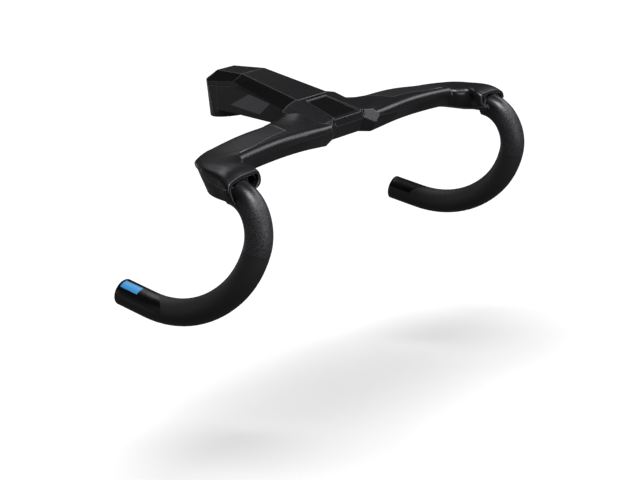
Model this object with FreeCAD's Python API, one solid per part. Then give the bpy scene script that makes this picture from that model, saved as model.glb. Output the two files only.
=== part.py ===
"""Integrated handlebar: stem, wing and drops moulded as one hollow piece, with its top cap and clamp hardware.

Millimetres. Forward is -Y, X is across the bar and Z is the steerer axis. Heights are drawn from a level just under
the clamp, and at the end every piece is moved down by CLAMP_LOW, so that the clamp's bottom face lies at Z = 0.
"""
import FreeCAD
import Part
import math
import os

from FreeCAD import Vector

# Drop tube, seen from the side as (y, z)
TUBE_RADIUS = 11.9
TUBE_WALL = 1.9
HOOD_HALF_WIDTH = 198.8
HOOD_LEVEL = -26
FLARE = 7
END_Y = -30
END_Z = -117
END_RISE = 17
END_RUN = 31
DROP_BENDS = ((104, 54), (84, 30.5), (40, 47), (31, 50))
ROOT_RUN = 1

# Wing and ramp: sections turn about this upright line from across the bar to forward
PIVOT_X = 156
PIVOT_Y = -160
LIP_Y = -168.5
WING_WALL = 2.6
CAVITY_LIP_GAP = 9
CAVITY_NOSE_HALF = 44
LIP_WALL = 2.6
LIP_DEPTH = 4

# Hood's brim, seen from the side as (y, z), with the flank set back below it
BRIM = ((-110, -4), (-122, -6), (-132.8, -10), (-142.5, -14.6), (-150.4, -18), (-164.4, -22.2), (-172, -24))
BRIM_DEPTH = 1.5
BRIM_INNER_X = 184

# Sunken panel on the wing's top: plan corners (x, y), and its depth at each station, which fades out on the hood
PANEL = ((72.4, -80), (72.4, -101), (84, -127.6), (107, -128.8), (136, -134), (158, -135.4), (215, -137), (215, -80))
PANEL_DEPTHS = (0.4, 0.4, 0.4, 0.4, 0.4, 0.25, -0.4, -0.4, -0.4)

# Cable port beside each tube: corners (x, z) at the lip, and how far it leans outward on its way back
PORT_CORNERS = ((186.5, -15.8), (178, -16.6), (177, -21), (181.5, -26), (186.5, -26))
PORT_CORNER_RADIUS = 1.8
PORT_DEPTH = 17
PORT_LEAN = 1

# Stem, cap and clamp
BORE_RADIUS = 14.35
BOSS_RADIUS = 21.5
BOSS_RIM = 1.5
BOSS_SIDE = (19.2, 4.4, 30)
BOSS_SIDE_OUT = (1, 0.065, 0.088)
CLAMP_LOW = 1.5
CAP_FRONT_Y = -31
CAP_FRONT_Z = 41.7
CAP_REAR_Y = 2.4
CAP_REAR_Z = 45.3
CAP_FRONT_HALF = 16.9
CAP_REAR_HALF = 12.6
CAP_SIDE_FOOT = (20.4, -20.4, 35.2)
SEAM_KNEE_Y = -15.7
SEAM_KNEE_Z = 30.6
SEAM_REAR_Y = 30
SEAM_REAR_Z = 33
SEAM_GAP = 0.3
CAP_BAND = 3
SPIGOT_RADIUS = 16
SPIGOT_WALL = 2.65
SPIGOT_DEPTH = 3
SPIGOT_CLEARANCE = 0.25
STEM_SLOPE = 20
STEM_WALL = 4
CABLE_SLOT = (18, 10, 12)
GUSSET_Y = -95

# Tray and notch for a computer mount
TRAY_REAR_Y = -99.5
TRAY_REAR_Z = 17.3
TRAY_REAR_HALF = 16.6
TRAY_FRONT_Y = -134.7
TRAY_FRONT_Z = 1.1
TRAY_FRONT_HALF = 21.7
TRAY_DEPTH = 1.8
TRAY_RIM = 1.2
NOTCH_HALF = 21
NOTCH_KNEE_HALF = 23.8
NOTCH_MOUTH_HALF = 37
NOTCH_MOUTH_Y = -143.3
NOTCH_KNEE = (-136.2, -7)
NOTCH_FOOT = (-129.8, -19)
KEEL_DEPTH = 9
KEEL_FOOT_HALF = 63

# Facets of the nose beside the tray and the notch: points (x, y, z)
FLANK_EDGE = (37, -101, 13.4)
CORNER_BROW = (32.5, -140.9, -12.5)
CORNER_TOE = (37, -133.7, -22)

# Clamp hardware at the back of the boss
SPLIT = 2
BOLT_Y = (BORE_RADIUS + BOSS_RADIUS) / 2
BOLT_LEVELS = (8, 22)
BOLT_RADIUS = 2
BOLT_HEAD_RADIUS = 3.5
BOLT_HEAD_LENGTH = 4
BOLT_HEAD_X = 5.5
BOLT_CLEARANCE = 0.2
BOLT_SOCKET = 1.5
NUT_RADIUS = 3
NUT_LENGTH = 7

FAR = 400


def turned(angle):
    """Unit vector in the side plane, angle in degrees from rearward towards up."""
    return Vector(0, math.cos(math.radians(angle)), math.sin(math.radians(angle)))


def polygon(points):
    return Part.makePolygon(list(points) + [points[0]])


def mirrored(shape):
    return shape.mirror(Vector(0, 0, 0), Vector(1, 0, 0))


def both_sides(shape):
    return shape.fuse(mirrored(shape))


def side_prism(outline, half_width):
    """Solid of a side outline, points (y, z), across the middle plane."""
    face = Part.Face(polygon([Vector(-half_width, y, z) for y, z in outline]))
    return face.extrude(Vector(2 * half_width, 0, 0))


def above(point, normal):
    """Large block on the normal's side of a plane."""
    block = Part.makeBox(2 * FAR, 2 * FAR, FAR, Vector(-FAR, -FAR, 0))
    turn = FreeCAD.Rotation(Vector(0, 0, 1), normal)
    block.Placement = FreeCAD.Placement(point, turn)
    return block


def above_points(a, b, c, side=1):
    """Large block above the plane through three points, or below it where side is -1."""
    normal = (b - a).cross(c - a)
    return above(a, normal * math.copysign(1, normal.z) * side)


# Drop tube

def drop_path():
    """Centreline of one drop, from the bar end to inside the ramp."""
    point = Vector(0, END_Y, END_Z)
    heading = 180 + END_RISE
    edges = []
    corner = point + turned(heading) * END_RUN
    edges.append(Part.LineSegment(point, corner).toShape())
    for radius, turn in DROP_BENDS:
        centre = corner - turned(heading + 90) * radius
        middle = centre + turned(heading + 90 - turn / 2) * radius
        heading -= turn
        finish = centre + turned(heading + 90) * radius
        edges.append(Part.Arc(corner, middle, finish).toShape())
        corner = finish
    edges.append(Part.LineSegment(corner, corner + turned(heading) * ROOT_RUN).toShape())
    path = Part.Wire(edges)
    path.rotate(Vector(0, 0, HOOD_LEVEL), Vector(0, 1, 0), -FLARE)
    path.translate(Vector(HOOD_HALF_WIDTH, 0, 0))
    return path


def swept(path, radius):
    start = path.Edges[0]
    origin = start.valueAt(start.FirstParameter)
    ring = Part.Wire(Part.makeCircle(radius, origin, start.tangentAt(start.FirstParameter)))
    return path.makePipeShell([ring], True, False)


# Wing and ramp

class Station:
    """One cross-section: where it stands and its size, heights along Z and reach measured from the pivot line."""

    def __init__(self, place, front, rear, top_front, top_rear, crease, brow, low, toe, toe_rise, belly,
                 tuck):
        self.place = place
        self.front = front
        self.rear = rear
        self.top_front = top_front
        self.top_rear = top_rear
        self.crease = crease
        self.brow = brow
        self.low = low
        self.toe = toe
        self.toe_rise = toe_rise
        self.belly = belly
        self.tuck = tuck

    def inset(self, wall):
        return Station(self.place, self.front + wall, self.rear - wall, self.top_front - wall,
                       self.top_rear - wall, self.crease, self.brow, self.low + wall, self.toe, self.toe_rise,
                       self.belly, self.tuck)

    def wire(self):
        across, angle, ahead = self.place
        turn = math.radians(angle)
        origin = Vector(across, PIVOT_Y - ahead, 0)
        chord = self.rear - self.front

        def at(reach, height):
            return origin + Vector(reach * math.sin(turn), reach * math.cos(turn), height)

        crease = at(self.rear, self.crease)
        brow = at(self.front, self.brow)
        toe = at(self.front + self.toe, self.low + self.toe_rise)
        heel = at(self.rear - self.tuck * chord, self.low + 2)
        middle = (self.top_front + self.top_rear) / 2 + 0.8
        top = [crease,
               at(self.rear - 0.05 * chord, 0.35 * self.crease + 0.65 * self.top_rear),
               at(self.rear - 0.2 * chord, self.top_rear),
               at(self.front + 0.5 * chord, middle),
               at(self.front + 0.2 * chord, self.top_front),
               at(self.front + 0.04 * chord, 0.7 * self.top_front + 0.3 * self.brow),
               brow]
        face_middle = at(self.front + self.toe / 2 - self.belly, (self.brow + self.low + self.toe_rise) / 2)
        under = at(self.front + 0.5 * chord, self.low)
        flank = at(self.rear - self.tuck * 0.35 * chord, 0.5 * (self.crease + self.low + 2))
        edges = [spline(top), spline([brow, face_middle, toe]), spline([toe, under, heel]),
                 spline([heel, flank, crease])]
        return Part.Wire(edges)


def spline(points):
    curve = Part.BSplineCurve()
    curve.interpolate(points)
    return curve.toShape()


def across(x):
    return (x, 0, 0)


def turning(angle):
    return (PIVOT_X, angle, 0)


def ahead(y):
    return (PIVOT_X, 90, PIVOT_Y - y)


STATIONS = (
    Station(across(38), 15.8, 70, -1, 9.5, 4, -7, -22.5, 10.5, 1, 0.8, 0.22),
    Station(across(62), 16, 69.5, 0.5, 5.6, 0, -8.5, -20.5, 9, 1, 0.5, 0.22),
    Station(across(96), 19, 66.5, 1, 4.8, -2, -9, -19.5, 6, 1, 0.5, 0.22),
    Station(across(130), 19, 65.5, 0, 3, -4, -9.5, -20, 5, 1, 0.5, 0.22),
    Station(turning(0), 18.5, 63.5, -1.5, 0.2, -5, -11, -21.5, 5, 1, 0.5, 0.22),
    Station(turning(30), 18.5, 59.5, -3, -1.8, -5, -12, -25, 5, 2, 0.5, 0.22),
    Station(turning(60), 19, 57.5, -4.6, -4, -8, -12.5, -30, 5, 4.5, 1, 0.07),
    Station(turning(90), 19, 60.5, -7.4, -9, -20, -12, -35.2, 5.5, 8, 3, 0.08),
    Station(ahead(LIP_Y), 19.5, 61.5, -12, -14.2, -21.5, -15.4, -38.5, 8.5, 11, 5, 0.12),
)


def loft(stations):
    return Part.makeLoft([station.wire() for station in stations], True, False)


def full_loft(stations):
    """Smooth solid through the stations and their mirror images."""
    right = [station.wire() for station in stations]
    left = [mirrored(wire) for wire in reversed(right)]
    return Part.makeLoft(left + right, True, False)


def ramp_recess():
    """Shallow hollow behind the lip, so that the lip stands proud round the tube."""
    lip = STATIONS[-1]
    back = lip.inset(LIP_WALL)
    back.place = ahead(LIP_Y + LIP_DEPTH)
    front = lip.inset(LIP_WALL)
    front.place = ahead(LIP_Y - 1)
    return loft((back, front))


def cable_port():
    """Rounded hole from the lip back into the wing."""
    outline = polygon([Vector(x, LIP_Y - 1, z) for x, z in PORT_CORNERS])
    hole = Part.Face(outline).extrude(Vector(PORT_LEAN, PORT_DEPTH, 0))
    along = [edge for edge in hole.Edges if edge.BoundBox.YLength > PORT_DEPTH / 2]
    return hole.makeFillet(PORT_CORNER_RADIUS, along)


def skin(depths):
    """The wing's outer form, set in by a depth at each station."""
    return full_loft([station.inset(depth) for station, depth in zip(STATIONS, depths)])


def even_skin(depth):
    return skin([depth] * len(STATIONS))


def brim_space():
    """Space below the hood's brim on the tube's outer side and underneath."""
    edge = spline([Vector(BRIM_INNER_X, y, z) for y, z in BRIM])
    start = edge.Vertexes[0].Point
    finish = edge.Vertexes[-1].Point
    drop = Vector(0, 0, -FAR)
    sides = Part.makePolygon([finish, finish + drop, start + drop, start])
    return Part.Face(Part.Wire([edge] + sides.Edges)).extrude(Vector(FAR, 0, 0))


def panel_space():
    outline = polygon([Vector(x, y, -BRIM_DEPTH) for x, y in PANEL])
    return Part.Face(outline).extrude(Vector(0, 0, FAR))


def wing():
    """Wing and ramps, with the sunken top panels, the set-back flanks and the hollows behind the lips."""
    shape = full_loft(STATIONS)
    panel = panel_space().cut(skin(PANEL_DEPTHS))
    flank = brim_space().cut(even_skin(BRIM_DEPTH))
    for space in (panel, flank, ramp_recess()):
        shape = shape.cut([space, mirrored(space)])
    return shape


def wing_cavity():
    """Hollow of the wing, kept clear of the lips and of the nose's notch."""
    ahead_of_lip = Part.makeBox(2 * FAR, FAR, FAR, Vector(-FAR, LIP_Y + CAVITY_LIP_GAP - FAR, -FAR / 2))
    nose = Part.makeBox(2 * CAVITY_NOSE_HALF, FAR, FAR,
                        Vector(-CAVITY_NOSE_HALF, NOTCH_FOOT[0] + 3 * WING_WALL - FAR, -FAR / 2))
    floor_drop = TRAY_DEPTH + 2 * WING_WALL
    under_tray = above(Vector(0, TRAY_FRONT_Y, TRAY_FRONT_Z - floor_drop), Vector(0, -tray_slope(), 1))
    middle = Part.makeBox(2 * CAVITY_NOSE_HALF, FAR, FAR, Vector(-CAVITY_NOSE_HALF, -FAR, -FAR / 2))
    return even_skin(WING_WALL).cut([ahead_of_lip, nose, under_tray.common(middle)])


# Stem

def stem_top(y):
    return CAP_FRONT_Z + (y - CAP_FRONT_Y) * math.tan(math.radians(STEM_SLOPE))


def stem_section(y, *corners):
    """Closed section across the stem, from its right-hand corners (x, z) read from the top down."""
    left = [(-x, z) for x, z in reversed(corners)]
    return polygon([Vector(x, y, z) for x, z in list(corners) + left])


def stem_beam():
    """Faceted beam from the steerer axis to the gusset."""
    sections = [
        stem_section(0, (14.1, stem_top(0)), (18.4, 44.3), (BOSS_RADIUS, 9), (16, 8)),
        stem_section(GUSSET_Y - 2, (22.8, stem_top(GUSSET_Y - 2)), (27.8, 2.6), (28, -8), (20, -9)),
    ]
    return Part.makeLoft(sections, True, True)


def gusset():
    """Flat flanks beside the tray, each with a narrow ridge facet along its outer edge."""
    sections = [
        stem_section(GUSSET_Y, (22.8, 18.3), (37, 15), (44.5, 11), (44, -6), (20, -9)),
        stem_section(TRAY_FRONT_Y, (22, 1.1), (34, -0.8), (37.5, -3), (36, -13), (30, -17)),
        stem_section(NOTCH_MOUTH_Y, (22, 1.1), (31, 0.5), (36, -4.8), (34.5, -12), (30, -16)),
    ]
    return Part.makeLoft(sections, True, True)


def stem_cavity():
    rear_y = CAP_FRONT_Y + 3
    sections = [
        stem_section(rear_y, (11, stem_top(rear_y) - STEM_WALL), (16, 28), (16, 10)),
        stem_section(-94, (15, 14), (18, 6), (16, -4)),
    ]
    return Part.makeLoft(sections, True, True)


def boss(radius, low, high):
    return Part.makeCylinder(radius, high - low, Vector(0, 0, low))


def boss_sides():
    """Blocks that flatten the barrel's two sides towards the top."""
    side = above(Vector(*BOSS_SIDE), Vector(*BOSS_SIDE_OUT))
    return [side, mirrored(side)]


def clamp_boss():
    """Upright barrel round the steerer, its lower rim rounded."""
    barrel = boss(BOSS_RADIUS, CLAMP_LOW, CAP_REAR_Z)
    rim = [edge for edge in barrel.Edges if edge.BoundBox.ZMax < CLAMP_LOW + 0.1]
    return barrel.makeFillet(BOSS_RIM, rim).cut(boss_sides())


def cap_cutters():
    """Blocks that leave the cap's flat top and sloping facets."""
    front = Vector(CAP_FRONT_HALF, CAP_FRONT_Y, CAP_FRONT_Z)
    rear = Vector(CAP_REAR_HALF, CAP_REAR_Y, CAP_REAR_Z)
    crease = SEAM_REAR_Z + CAP_BAND
    diagonal = BOSS_RADIUS * math.sqrt(0.5)
    top = above_points(front, rear, Vector(-CAP_REAR_HALF, CAP_REAR_Y, CAP_REAR_Z))
    side = above_points(front, rear, Vector(*CAP_SIDE_FOOT))
    corner = above_points(rear, Vector(diagonal, diagonal, crease), rear + Vector(1, -1, 0))
    back = above_points(rear, Vector(0, BOSS_RADIUS, crease), Vector(0, CAP_REAR_Y, CAP_REAR_Z))
    return [top, side, mirrored(side), corner, mirrored(corner), back]


def seam_prism(gap):
    """Space of the cap above the seam, its lower faces moved down by the gap."""
    outline = [(CAP_FRONT_Y - gap, CAP_FRONT_Z), (SEAM_KNEE_Y - gap / 2, SEAM_KNEE_Z - gap),
               (SEAM_REAR_Y, SEAM_REAR_Z - gap), (SEAM_REAR_Y, FAR), (CAP_FRONT_Y - gap, FAR)]
    return side_prism(outline, FAR)


def top_cap():
    barrel = boss(BOSS_RADIUS, 0, FAR).cut(boss_sides())
    shape = barrel.fuse(stem_beam()).common(seam_prism(0))
    for cutter in cap_cutters():
        shape = shape.cut(cutter)
    spigot = boss(SPIGOT_RADIUS, SEAM_KNEE_Z - SPIGOT_DEPTH, SEAM_REAR_Z)
    hollow = boss(SPIGOT_RADIUS - SPIGOT_WALL, 0, SEAM_REAR_Z + CAP_BAND)
    return shape.fuse(spigot).cut(hollow).removeSplitter()


def tray_slope():
    return (TRAY_REAR_Z - TRAY_FRONT_Z) / (TRAY_REAR_Y - TRAY_FRONT_Y)


def tray():
    """Shallow flat recess on the nose, open at the front."""
    taper = (TRAY_FRONT_HALF - TRAY_REAR_HALF) / (TRAY_REAR_Y - TRAY_FRONT_Y)
    reach = 8
    rear_half = TRAY_REAR_HALF - TRAY_RIM
    front_half = TRAY_FRONT_HALF - TRAY_RIM + reach * taper
    rear_y = TRAY_REAR_Y - TRAY_RIM
    front_y = TRAY_FRONT_Y - reach
    rear_z = TRAY_REAR_Z - TRAY_RIM * tray_slope() - TRAY_DEPTH
    front_z = TRAY_FRONT_Z - reach * tray_slope() - TRAY_DEPTH
    floor = polygon([Vector(-rear_half, rear_y, rear_z), Vector(rear_half, rear_y, rear_z),
                     Vector(front_half, front_y, front_z), Vector(-front_half, front_y, front_z)])
    return Part.Face(floor).extrude(Vector(0, 0, FAR))


def notch():
    """Gap in front of the nose, its sides spreading forward."""
    outline = [(TRAY_FRONT_Y, FAR), (TRAY_FRONT_Y, TRAY_FRONT_Z - TRAY_DEPTH), NOTCH_KNEE, NOTCH_FOOT,
               (NOTCH_FOOT[0], -FAR), (-FAR, -FAR), (-FAR, FAR)]
    right = [(NOTCH_HALF, 0), (NOTCH_HALF, NOTCH_FOOT[0]), (NOTCH_KNEE_HALF, NOTCH_KNEE[0]),
             (NOTCH_MOUTH_HALF, NOTCH_MOUTH_Y), (NOTCH_MOUTH_HALF, -FAR)]
    left = [(-x, y) for x, y in reversed(right)]
    plan = Part.Face(polygon([Vector(x, y, -FAR) for x, y in right + left]))
    return side_prism(outline, NOTCH_MOUTH_HALF).common(plan.extrude(Vector(0, 0, 2 * FAR)))


def flank_trim():
    """Space above the flat flank beside the tray, out to the gusset's ridge."""
    plane = above_points(Vector(TRAY_REAR_HALF, TRAY_REAR_Y, TRAY_REAR_Z),
                         Vector(TRAY_FRONT_HALF, TRAY_FRONT_Y, TRAY_FRONT_Z), Vector(*FLANK_EDGE))
    length = TRAY_REAR_Y - TRAY_FRONT_Y
    return plane.common(Part.makeBox(FLANK_EDGE[0], length, FAR, Vector(0, TRAY_FRONT_Y, -FAR / 2)))


def keel_relief():
    """Space under the middle of the nose, between the two lower corners of the wing's root."""
    high = NOTCH_FOOT[1]
    low = high - KEEL_DEPTH
    outline = [(-NOTCH_HALF, high), (NOTCH_HALF, high), (KEEL_FOOT_HALF, low), (-KEEL_FOOT_HALF, low)]
    face = Part.Face(polygon([Vector(x, -FAR, z) for x, z in outline]))
    return face.extrude(Vector(0, 2 * FAR, 0))


def lower_corner():
    """Two facets off the wing root's lower corner, which draws back towards the notch."""
    knee = Vector(NOTCH_KNEE_HALF, *NOTCH_KNEE)
    foot = Vector(NOTCH_HALF, *NOTCH_FOOT)
    brow = Vector(*CORNER_BROW)
    facets = above_points(foot, knee, brow, -1).fuse(above_points(foot, brow, Vector(*CORNER_TOE), -1))
    return facets.common(Part.makeBox(NOTCH_MOUTH_HALF, FAR, FAR, Vector(NOTCH_HALF, -FAR, -FAR / 2)))


def cable_slot():
    long, wide, high = CABLE_SLOT
    return Part.makeBox(long, wide, high + 6, Vector(-long / 2, -BOSS_RADIUS - wide / 2 - 2, -2))


def across_cylinder(radius, x, length, level):
    return Part.makeCylinder(radius, length, Vector(x, BOLT_Y, level), Vector(1, 0, 0))


def clamp_cuts():
    """Steerer bore, rear split, and the bolts' and nuts' holes."""
    cuts = [boss(BORE_RADIUS, -FAR, FAR),
            boss(SPIGOT_RADIUS + SPIGOT_CLEARANCE, SEAM_KNEE_Z - SPIGOT_DEPTH - SPIGOT_CLEARANCE, FAR),
            Part.makeBox(SPLIT, FAR, 2 * FAR, Vector(-SPLIT / 2, 0, -FAR))]
    for level in BOLT_LEVELS:
        cuts.append(across_cylinder(BOLT_RADIUS + BOLT_CLEARANCE, 0, BOSS_RADIUS, level))
        cuts.append(across_cylinder(BOLT_HEAD_RADIUS + BOLT_CLEARANCE, BOLT_HEAD_X, BOSS_RADIUS, level))
        cuts.append(across_cylinder(NUT_RADIUS + BOLT_CLEARANCE, -SPLIT / 2 - NUT_LENGTH - BOLT_CLEARANCE,
                                    SPLIT / 2 + NUT_LENGTH + BOLT_CLEARANCE, level))
    return cuts


def clamp_bolts():
    bolts = []
    for level in BOLT_LEVELS:
        shank_end = -SPLIT / 2 - NUT_LENGTH + 1
        shank = across_cylinder(BOLT_RADIUS, shank_end, BOLT_HEAD_X - shank_end + 1, level)
        head_start = BOLT_HEAD_X + BOLT_CLEARANCE
        cylinder = across_cylinder(BOLT_HEAD_RADIUS, head_start, BOLT_HEAD_LENGTH, level)
        corners = []
        for step in range(6):
            angle = math.radians(60 * step)
            corners.append(Vector(head_start + 2, BOLT_Y + BOLT_SOCKET * math.cos(angle),
                                  level + BOLT_SOCKET * math.sin(angle)))
        socket = Part.Face(polygon(corners)).extrude(Vector(BOLT_HEAD_LENGTH, 0, 0))
        bolts.append(shank.fuse(cylinder).cut(socket).removeSplitter())
    return Part.makeCompound(bolts)


def clamp_nuts():
    nuts = []
    for level in BOLT_LEVELS:
        body = across_cylinder(NUT_RADIUS, -SPLIT / 2 - NUT_LENGTH, NUT_LENGTH, level)
        hole = across_cylinder(BOLT_RADIUS + BOLT_CLEARANCE / 2, -SPLIT / 2 - NUT_LENGTH, NUT_LENGTH + 2, level)
        nuts.append(body.cut(hole))
    return Part.makeCompound(nuts)


def handlebar():
    """The one-piece moulding."""
    path = drop_path()
    tube = swept(path, TUBE_RADIUS)
    trim = flank_trim()
    shell = wing().cut([trim, mirrored(trim)])
    outer = shell.fuse([tube, mirrored(tube), stem_beam(), gusset(), clamp_boss()])
    for space in (lower_corner(), swept(path, TUBE_RADIUS - TUBE_WALL), cable_port()):
        outer = outer.cut([space, mirrored(space)])
    cuts = [wing_cavity(), stem_cavity(), cable_slot(), tray(), notch(), keel_relief(),
            seam_prism(SEAM_GAP)]
    return outer.cut(cuts + clamp_cuts())


os.makedirs("parts", exist_ok=True)
for name, make in (("handlebar", handlebar), ("top_cap", top_cap), ("clamp_bolts", clamp_bolts),
                   ("clamp_nuts", clamp_nuts)):
    shape = make()
    shape.translate(Vector(0, 0, -CLAMP_LOW))
    print(name, "solids", len(shape.Solids), "valid", shape.isValid(), "volume", round(shape.Volume))
    shape.exportStep("parts/" + name + ".step")
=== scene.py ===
"""Integrated handlebar: the finishes of its pieces, with a floor, studio light and camera."""
import math

import bpy
from mathutils import Matrix, Vector

MM = 0.001
ACROSS = (1, 0, 0)
UPWARD = (0, 0, 1)

# Camera: its place in mm, its directions, and its focal length in pixels of a frame 640 wide
FRAME_WIDTH = 640
FOCAL_PIXELS = 1764.3
SENSOR_WIDTH = 36
CLIP_END = 100
CAMERA_PLACE = (-1277.8, -1076.7, 241.4)
CAMERA_FORWARD = (0.7715, 0.59746, -0.2187)
CAMERA_RIGHT = (0.58932, -0.80061, -0.10825)

# Floor far below the bar: its level in mm and its width in metres
FLOOR_LEVEL = -262
FLOOR_WIDTH = 60

# Soft boxes for the bar: name, place and size in metres, watts
LAMPS = (
    ("front_high", (-0.55, -1.27, 1.78), (1.0, 1.0), 50),
    ("front_right", (0.92, -1.57, 1.35), (1.0, 1.0), 15),
    ("front_low", (0.0, -2.3, -0.04), (1.2, 0.42), 13),
    ("right_edge", (1.73, -0.66, 1.23), (1.0, 1.0), 9),
    ("rear_right", (1.23, 0.93, 1.5), (0.6, 0.6), 1.3),
    ("rear_high", (0.47, 0.97, 1.87), (0.9, 0.6), 4.5),
    ("rear_fill", (0.23, 2.09, 0.08), (1.4, 0.5), 2),
    ("rear_left", (-1.39, 1.56, 0.38), (1.0, 1.0), 1.2),
)

# Middle of the bar in metres, which the soft boxes are aimed at
LAMP_AIM = Vector((0, -0.1, 0))

# Wide overhead panel for the floor: its strength, and the angle it fills in degrees
FLOOR_PANEL_STRENGTH = 3.4
FLOOR_PANEL_ANGLE = 60

# How bright the backdrop and the floor are to the bar itself, where 1 is white
BACKDROP_ON_BAR = 0.03
FLOOR_ON_BAR = 0.11

# Bar end on the left of the bar (mm), the tube's direction out of it, and the two directions across the tube
BAR_END = Vector((209.89, -30, -117.82))
BAR_END_OUT = Vector((-0.03563, 0.9563, 0.2902))
BAR_END_OUTWARD = Vector(ACROSS).cross(BAR_END_OUT).cross(BAR_END_OUT).normalized() * -1
BAR_END_UP = BAR_END_OUTWARD.cross(BAR_END_OUT).normalized()

# Black panel on the bar end: limits of its angle round the tube, from outward to up, and its slanted front
END_PANEL_ANGLES = (12, 160)
END_PANEL_LENGTH = 39
END_PANEL_SLANT = 1.25

# Blue field on that panel: limits of its distance from the end (mm) and of its angle
END_FIELD_RUN = (2.5, 22.5)
END_FIELD_ANGLES = (45, 86)

# Where the grip finish starts below the lip and stops on the drop (mm), the tube's direction, and the fade
GRIP_START = (207, -183, -33)
GRIP_START_DIRECTION = (0, -0.5, -0.86)
GRIP_START_FADE = 16
GRIP_STOP = (204.8, -179.4, -76.5)
GRIP_STOP_DIRECTION = Vector((0.1122, 0.3907, -0.9137))
GRIP_STOP_FADE = 2

# Inboard of this (mm) nothing is part of a drop
DROP_INBOARD = 150

# Plain fields on the stem: outlines seen from the side (mm), and one on the tray seen from above
SIDE_FIELD = ((0, -16.5, 11.9), (0, -40.5, 21.8), (0, -65.9, 13.4), (0, -52.6, 3.3))
CHAMFER_FIELD = ((0, -25, 27.5), (0, -38, 34.5), (0, -94, 16.8), (0, -81, 8.4))
TRAY_FIELD = ((-8, -97, 0), (8, -97, 0), (16, -107, 0), (18, -131, 0), (-18, -131, 0), (-16, -107, 0))
TRAY_FIELD_LOW = -4

# Sunk panel on top of the wing, seen from above in two halves (mm), and where it fades out on the hood
PANEL_INNER = ((72.4, -80, 0), (72.4, -101, 0), (84, -127.6, 0), (107, -128.8, 0), (107, -80, 0))
PANEL_OUTER = ((107, -80, 0), (107, -128.8, 0), (136, -134, 0), (158, -135.4, 0), (215, -137, 0),
               (215, -80, 0))
PANEL_LOW = -10
PANEL_FADE_MIDDLE = 165
PANEL_FADE = 30

# Painted highlight lines (mm): on the panel's front edge seen from above, and on the hood's brim seen from
# the side
PANEL_EDGE = ((72.4, -101, 0), (84, -127.6, 0), (107, -128.8, 0), (136, -134, 0), (158, -135.4, 0))
BRIM_EDGE = ((0, -131, -8.4), (0, -138.6, -17.1), (0, -152.2, -19.4), (0, -166.5, -22.1))
BRIM_INBOARD = 200
LINE_WIDTH = 1.3

# Width (mm) over which a painted edge fades
PAINT_FADE = 0.12

# Edges: their radius (mm), and the cosines of the turn at which their painted highlight starts and is full
EDGE_RADIUS = 1.1
EDGE_SHINE_START = 0.995
EDGE_SHINE_FULL = 0.91
BEVEL_SAMPLES = 8

# The hood's creases are softer (mm): their radius, and where the hood begins and its lip starts
HOOD_RADIUS = 7
HOOD_INBOARD = 180
HOOD_INBOARD_FADE = 20
HOOD_LIP_Y = -161
HOOD_LIP_FADE = 6

# Grains (mm): real peel and blasting are a few tenths wide, too fine to show, so both are drawn coarser
PEEL_GRAIN = 0.9
PEEL_STRENGTH = 0.05
PEEL_HEIGHT = 0.05
BLAST_GRAIN = 1.1
BLAST_STRENGTH = 0.5
BLAST_HEIGHT = 0.25
CLOUD_GRAIN = 35
NOISE_LOW = 0.35
NOISE_HIGH = 0.65

# Highlights on the lacquer are very slightly violet
LACQUER_SHINE = (0.97, 0.935, 1, 1)

# Turning marks on bolts and nuts, whose axis is X: width in mm, how much finer along X, change of roughness
MARK_WIDTH = 1.5
MARK_FINENESS = (8, 1, 1)
MARK_ROUGHNESS = 0.08


def srgb(code):
    """Linear colour of an sRGB hex value."""
    channels = [int(code[place:place + 2], 16) / 255 for place in (1, 3, 5)]
    linear = [c / 12.92 if c <= 0.04045 else ((c + 0.055) / 1.055) ** 2.4 for c in channels]
    return (*linear, 1)


def add(tree, kind, inputs=(), **settings):
    """Adds a node with its settings, and fills its inputs with values or with other nodes' outputs."""
    node = tree.nodes.new(kind)
    for name, value in settings.items():
        setattr(node, name, value)
    for key, value in dict(inputs).items():
        if isinstance(value, bpy.types.NodeSocket):
            tree.links.new(value, node.inputs[key])
        else:
            node.inputs[key].default_value = value
    return node


def new_material(name):
    """Empty material and its node tree."""
    material = bpy.data.materials.new(name)
    material.use_nodes = True
    tree = material.node_tree
    tree.nodes.clear()
    return material, tree


def times(tree, values):
    """Product of masks."""
    product = values[0]
    for value in values[1:]:
        product = add(tree, "ShaderNodeMath", {0: product, 1: value}, operation="MULTIPLY").outputs[0]
    return product


def beyond(tree, place, point, direction, fade=PAINT_FADE):
    """Mask of the space past a plane through a point (mm), which fades in over a width (mm)."""
    direction = Vector(direction).normalized()
    level = Vector(point).dot(direction)
    along = add(tree, "ShaderNodeVectorMath", {0: place, 1: direction}, operation="DOT_PRODUCT")
    limits = {"From Min": (level - fade / 2) * MM, "From Max": (level + fade / 2) * MM}
    return add(tree, "ShaderNodeMapRange", {"Value": along.outputs["Value"], **limits}).outputs[0]


def within(tree, place, outline, along):
    """Mask of the prism that a convex outline (mm) sweeps along a direction."""
    corners = [Vector(corner) for corner in outline]
    middle = sum(corners, Vector()) / len(corners)
    sides = []
    for first, second in zip(corners, corners[1:] + corners[:1]):
        inward = Vector(along).cross(second - first)
        inward *= math.copysign(1, inward.dot(middle - first))
        sides.append(beyond(tree, place, first, inward))
    return times(tree, sides)


def fine_line(tree, place, corners, along):
    """Mask of a fine line through some points (mm), carried along a direction."""
    total = 0
    for first, second in zip(corners, corners[1:]):
        start, stop = Vector(first), Vector(second)
        aside = Vector(along).cross(stop - start).normalized() * LINE_WIDTH / 2
        piece = within(tree, place, (start + aside, stop + aside, stop - aside, start - aside), along)
        total = add(tree, "ShaderNodeMath", {0: total, 1: piece}, operation="MAXIMUM").outputs[0]
    return total


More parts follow.
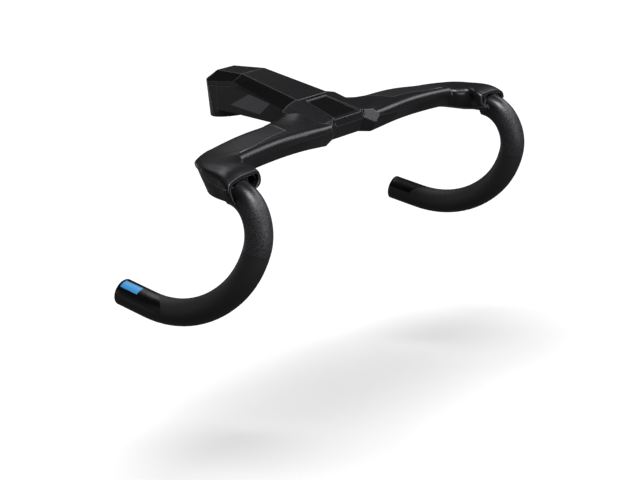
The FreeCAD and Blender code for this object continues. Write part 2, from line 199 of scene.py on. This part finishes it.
def round_end(tree, place, angles):
    """Masks of a wedge round the bar end's axis, between two angles from outward to up."""
    start, stop = [math.radians(angle) for angle in angles]
    past_start = BAR_END_UP * math.cos(start) - BAR_END_OUTWARD * math.sin(start)
    before_stop = BAR_END_OUTWARD * math.sin(stop) - BAR_END_UP * math.cos(stop)
    return [beyond(tree, place, BAR_END, past_start), beyond(tree, place, BAR_END, before_stop)]


def end_panel(tree, place):
    """Mask of the bar end's black panel."""
    slant = BAR_END_OUT + BAR_END_OUTWARD * END_PANEL_SLANT
    front = beyond(tree, place, BAR_END - BAR_END_OUT * END_PANEL_LENGTH, slant)
    return times(tree, round_end(tree, place, END_PANEL_ANGLES) + [front])


def end_field(tree, place, coordinates):
    """Mask of the blue field on the bar end, on the right of the bar alone."""
    near, far = [BAR_END - BAR_END_OUT * run for run in END_FIELD_RUN]
    run = [beyond(tree, place, near, -BAR_END_OUT), beyond(tree, place, far, BAR_END_OUT)]
    on_right = beyond(tree, coordinates, (0, 0, 0), (-1, 0, 0))
    return times(tree, round_end(tree, place, END_FIELD_ANGLES) + run + [on_right])


def grip(tree, place):
    """Mask of the blasted grip on the upper drop."""
    above_stop = beyond(tree, place, GRIP_STOP, -GRIP_STOP_DIRECTION, GRIP_STOP_FADE)
    below_start = beyond(tree, place, GRIP_START, GRIP_START_DIRECTION, GRIP_START_FADE)
    return times(tree, [above_stop, below_start])


def lower_drop(tree, place):
    """Mask of the drop from the grip to the bar end."""
    outboard = beyond(tree, place, (DROP_INBOARD, 0, 0), ACROSS)
    return times(tree, [outboard, beyond(tree, place, GRIP_STOP, GRIP_STOP_DIRECTION, GRIP_STOP_FADE)])


def wing_panel(tree, place, outline):
    """Mask of one half of the sunk panel on top of the wing."""
    fade = beyond(tree, place, (PANEL_FADE_MIDDLE, 0, 0), (-1, 0, 0), PANEL_FADE)
    on_top = beyond(tree, place, (0, 0, PANEL_LOW), UPWARD)
    return times(tree, [fade, within(tree, place, outline, UPWARD), on_top])


def panel_edge_highlight(tree, place):
    """Mask of the painted highlight line along the sunk panel's front edge."""
    on_top = beyond(tree, place, (0, 0, PANEL_LOW), UPWARD)
    return times(tree, [on_top, fine_line(tree, place, PANEL_EDGE, UPWARD)])


def brim_highlight(tree, place):
    """Mask of the painted highlight line along the brim, on the hood's outer side."""
    outer_side = beyond(tree, place, (BRIM_INBOARD, 0, 0), ACROSS)
    return times(tree, [outer_side, fine_line(tree, place, BRIM_EDGE, ACROSS)])


def tray_field(tree, place):
    """Mask of the field on the floor of the tray."""
    above = beyond(tree, place, (0, 0, TRAY_FIELD_LOW), UPWARD)
    return times(tree, [within(tree, place, TRAY_FIELD, UPWARD), above])


def painted_edge_highlight(tree):
    """Mask of the edges for their painted highlight, where a rounded normal turns away from the flat one."""
    rounded = add(tree, "ShaderNodeBevel", {"Radius": EDGE_RADIUS * MM}, samples=BEVEL_SAMPLES)
    flat = add(tree, "ShaderNodeNewGeometry").outputs["Normal"]
    turn = add(tree, "ShaderNodeVectorMath", {0: rounded.outputs[0], 1: flat}, operation="DOT_PRODUCT")
    limits = {"From Min": EDGE_SHINE_START, "From Max": EDGE_SHINE_FULL}
    return add(tree, "ShaderNodeMapRange", {"Value": turn.outputs["Value"], **limits}).outputs[0]


def softened_normal(tree, place):
    """Normal with rounded edges, and with softer creases on the hood."""
    outboard = beyond(tree, place, (HOOD_INBOARD, 0, 0), ACROSS, HOOD_INBOARD_FADE)
    behind_lip = beyond(tree, place, (0, HOOD_LIP_Y, 0), (0, 1, 0), HOOD_LIP_FADE)
    limits = {"To Min": EDGE_RADIUS * MM, "To Max": HOOD_RADIUS * MM}
    radius = add(tree, "ShaderNodeMapRange", {"Value": times(tree, [outboard, behind_lip]), **limits})
    return add(tree, "ShaderNodeBevel", {"Radius": radius.outputs[0]}, samples=BEVEL_SAMPLES).outputs[0]


def folded_place(tree):
    """Object coordinates, and the same with both halves of the bar folded onto the +X side."""
    coordinates = add(tree, "ShaderNodeTexCoord").outputs["Object"]
    folded = add(tree, "ShaderNodeVectorMath", {0: coordinates}, operation="ABSOLUTE")
    whole = add(tree, "ShaderNodeSeparateXYZ", {0: coordinates})
    left = add(tree, "ShaderNodeSeparateXYZ", {0: folded.outputs[0]})
    place = add(tree, "ShaderNodeCombineXYZ", {0: left.outputs[0], 1: whole.outputs[1], 2: whole.outputs[2]})
    return coordinates, place.outputs[0]


def grain(tree, coordinates, width, low, high):
    """Noise with grains about so many mm wide, spread from a low to a high value."""
    noise = add(tree, "ShaderNodeTexNoise", {"Vector": coordinates, "Scale": 1 / (width * MM), "Detail": 2})
    spread = {"From Min": NOISE_LOW, "From Max": NOISE_HIGH, "To Min": low, "To Max": high}
    return add(tree, "ShaderNodeMapRange", {"Value": noise.outputs[0], **spread}).outputs[0]


def coat(tree, under, mask, colour, roughness):
    """Lays a finish, its colour and its roughness, over another where the mask is 1."""
    tint = add(tree, "ShaderNodeMix", {0: mask, 6: under[0], 7: srgb(colour)}, data_type="RGBA")
    rough = add(tree, "ShaderNodeMix", {0: mask, 2: under[1], 3: roughness})
    return tint.outputs[2], rough.outputs[0]


def moulded_carbon():
    """Carbon fibre moulded under satin black lacquer: near black, with soft highlights, and paler edges and
    fine lines that are painted highlights.
    """
    material, tree = new_material("matte_lacquered_carbon")
    coordinates, place = folded_place(tree)
    on_grip = grip(tree, place)
    blasted = times(tree, [on_grip, grain(tree, coordinates, BLAST_GRAIN, 0, 1)])
    coats = (
        # Slow drift of tone, which keeps the large faces from looking flat
        (grain(tree, coordinates, CLOUD_GRAIN, 0, 0.35), "#171618", 0.32),
        # Sunk panels, a little greyer and duller than the faces round them
        (wing_panel(tree, place, PANEL_INNER), "#1a191b", 0.4),
        (wing_panel(tree, place, PANEL_OUTER), "#1a191b", 0.4),
        # Matte lower drops, and the grip with its pale specks above them
        (lower_drop(tree, place), "#242325", 0.55),
        (on_grip, "#171618", 0.42),
        (blasted, "#363538", 0.46),
        # Plain grey field on the stem's side, and plain black ones
        (within(tree, place, SIDE_FIELD, ACROSS), "#545357", 0.4),
        (within(tree, place, CHAMFER_FIELD, ACROSS), "#050505", 0.4),
        (tray_field(tree, place), "#060607", 0.24),
        (end_panel(tree, place), "#050505", 0.3),
        (end_field(tree, place, coordinates), "#3f97d6", 0.35),
        # Painted highlights: paler fine lines and edges, coloured where small edges would catch the light
        (panel_edge_highlight(tree, place), "#66656a", 0.34),
        (brim_highlight(tree, place), "#66656a", 0.34),
        (painted_edge_highlight(tree), "#525155", 0.32),
    )
    finish = (srgb("#121113"), grain(tree, coordinates, PEEL_GRAIN, 0.27, 0.32))
    for mask, colour, roughness in coats:
        finish = coat(tree, finish, mask, colour, roughness)

    peel = add(tree, "ShaderNodeBump", {
        "Height": grain(tree, coordinates, PEEL_GRAIN, 0, 1),
        "Strength": PEEL_STRENGTH,
        "Distance": PEEL_HEIGHT * MM,
        "Normal": softened_normal(tree, place),
    })
    blast = add(tree, "ShaderNodeBump", {
        "Height": blasted,
        "Strength": BLAST_STRENGTH,
        "Distance": BLAST_HEIGHT * MM,
        "Normal": peel.outputs[0],
    })
    shader = add(tree, "ShaderNodeBsdfPrincipled", {
        "Base Color": finish[0],
        "Roughness": finish[1],
        "Normal": blast.outputs[0],
        "Specular Tint": LACQUER_SHINE,
    })
    add(tree, "ShaderNodeOutputMaterial", {"Surface": shader.outputs[0]})
    return material


def turned_metal(name, colour, roughness):
    """Metal with fine turning marks round its axis, which break its highlight."""
    material, tree = new_material(name)
    coordinates = add(tree, "ShaderNodeTexCoord").outputs["Object"]
    marks = add(tree, "ShaderNodeMapping", {"Vector": coordinates, "Scale": MARK_FINENESS})
    low = roughness - MARK_ROUGHNESS
    high = roughness + MARK_ROUGHNESS
    shader = add(tree, "ShaderNodeBsdfPrincipled", {
        "Base Color": srgb(colour),
        "Roughness": grain(tree, marks.outputs[0], MARK_WIDTH, low, high),
        "Metallic": 1,
    })
    add(tree, "ShaderNodeOutputMaterial", {"Surface": shader.outputs[0]})
    return material


def dress(node, material):
    """Gives a CAD node its material."""
    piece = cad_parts[node]
    piece.data.materials.clear()
    piece.data.materials.append(material)


def lit_by(holder, pieces):
    """Lets a light fall only on the given pieces."""
    group = bpy.data.collections.new(holder.name + "_lights")
    for piece in pieces:
        group.objects.link(piece)
    holder.light_linking.receiver_collection = group


def floor():
    """Wide pale floor: white to the camera except where the bar shades it, and grey to the bar itself."""
    bpy.ops.mesh.primitive_plane_add(size=FLOOR_WIDTH, location=(0, 0, FLOOR_LEVEL * MM))
    plane = bpy.context.object
    plane.name = "floor"
    material, tree = new_material("white_studio_floor")
    seen = add(tree, "ShaderNodeLightPath").outputs["Is Camera Ray"]
    shade = add(tree, "ShaderNodeMapRange", {"Value": seen, "To Min": FLOOR_ON_BAR, "To Max": 1})
    shader = add(tree, "ShaderNodeBsdfPrincipled", {
        "Base Color": shade.outputs[0],
        "Roughness": 1,
        "Specular IOR Level": 0,
    })
    add(tree, "ShaderNodeOutputMaterial", {"Surface": shader.outputs[0]})
    plane.data.materials.append(material)
    return plane


def lamp(name, place, size, watts):
    """Soft box aimed at the bar, with no spill on the floor."""
    light = bpy.data.lights.new(name, "AREA")
    light.shape = "RECTANGLE"
    light.size, light.size_y = size
    light.energy = watts
    holder = bpy.data.objects.new(name, light)
    bpy.context.collection.objects.link(holder)
    holder.location = place
    holder.rotation_euler = (LAMP_AIM - Vector(place)).to_track_quat("-Z", "Y").to_euler()
    lit_by(holder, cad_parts.values())


def floor_panel(plane):
    """Even soft light from straight above, which makes the floor white and casts the bar's shadow on it."""
    light = bpy.data.lights.new("floor_panel", "SUN")
    light.energy = FLOOR_PANEL_STRENGTH
    light.angle = math.radians(FLOOR_PANEL_ANGLE)
    holder = bpy.data.objects.new("floor_panel", light)
    bpy.context.collection.objects.link(holder)
    lit_by(holder, [plane])


def studio():
    """White backdrop to the camera, dim enough to the bar to leave its lacquer black, with the lamps."""
    world = bpy.data.worlds.new("studio")
    bpy.context.scene.world = world
    world.use_nodes = True
    tree = world.node_tree
    seen = add(tree, "ShaderNodeLightPath").outputs["Is Camera Ray"]
    strength = add(tree, "ShaderNodeMapRange", {"Value": seen, "To Min": BACKDROP_ON_BAR, "To Max": 1})
    backdrop = tree.nodes["Background"]
    backdrop.inputs["Color"].default_value = (1, 1, 1, 1)
    tree.links.new(strength.outputs[0], backdrop.inputs["Strength"])
    for settings in LAMPS:
        lamp(*settings)


def camera():
    """Camera at the photograph's place and angle."""
    forward = Vector(CAMERA_FORWARD).normalized()
    right = Vector(CAMERA_RIGHT).normalized()
    up = right.cross(forward)
    axes = Matrix((right, up, -forward)).transposed()
    data = bpy.data.cameras.new("camera")
    data.sensor_fit = "HORIZONTAL"
    data.sensor_width = SENSOR_WIDTH
    data.lens = FOCAL_PIXELS * SENSOR_WIDTH / FRAME_WIDTH
    data.clip_end = CLIP_END
    holder = bpy.data.objects.new("camera", data)
    bpy.context.collection.objects.link(holder)
    holder.matrix_world = Matrix.Translation(Vector(CAMERA_PLACE) * MM) @ axes.to_4x4()
    bpy.context.scene.camera = holder


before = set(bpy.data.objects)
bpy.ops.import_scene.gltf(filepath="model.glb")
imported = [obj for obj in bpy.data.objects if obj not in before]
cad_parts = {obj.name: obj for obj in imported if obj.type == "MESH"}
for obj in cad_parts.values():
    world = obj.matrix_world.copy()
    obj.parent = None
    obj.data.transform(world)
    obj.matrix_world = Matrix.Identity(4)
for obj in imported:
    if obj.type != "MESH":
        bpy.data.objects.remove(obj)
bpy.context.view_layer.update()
carbon = moulded_carbon()
dress("handlebar", carbon)
dress("top_cap", carbon)
dress("clamp_bolts", turned_metal("black_oxide_steel", "#2c2c2e", 0.42))
dress("clamp_nuts", turned_metal("anodised_aluminium", "#77787a", 0.35))
floor_panel(floor())
studio()
camera()
bpy.context.scene.view_settings.view_transform = "Standard"
